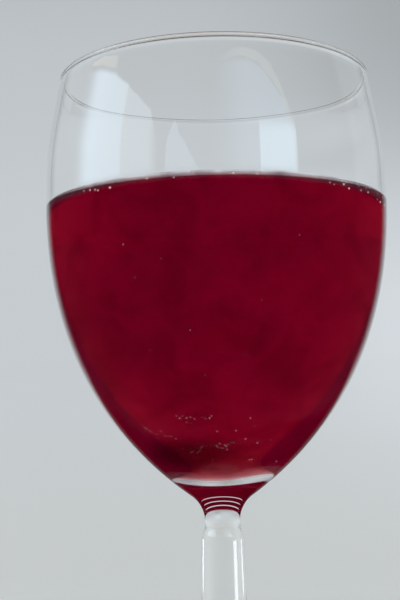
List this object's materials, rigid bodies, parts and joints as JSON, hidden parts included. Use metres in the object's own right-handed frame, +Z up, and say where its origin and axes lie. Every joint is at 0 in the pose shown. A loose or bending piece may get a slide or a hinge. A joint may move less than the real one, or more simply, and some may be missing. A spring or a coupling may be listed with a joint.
{
  "type": "glass of red wine",
  "caption": "Stemmed tulip wine glass on a round foot, filled about two thirds up its bowl with red wine.",
  "frame": {"origin": "centre of the foot's underside, on the surface the glass stands on", "axes": "+Z up along the axis of the glass; X and Y are alike, as it is round"},
  "size_m": [0.084, 0.084, 0.1878],
  "materials": {
    "clear_glass": "clear, smooth and fire-polished",
    "red_wine": "clear dark red liquid"
  },
  "bodies": {
    "root": {"glass": "clear_glass", "wine": "red_wine"}
  },
  "joints": []
}
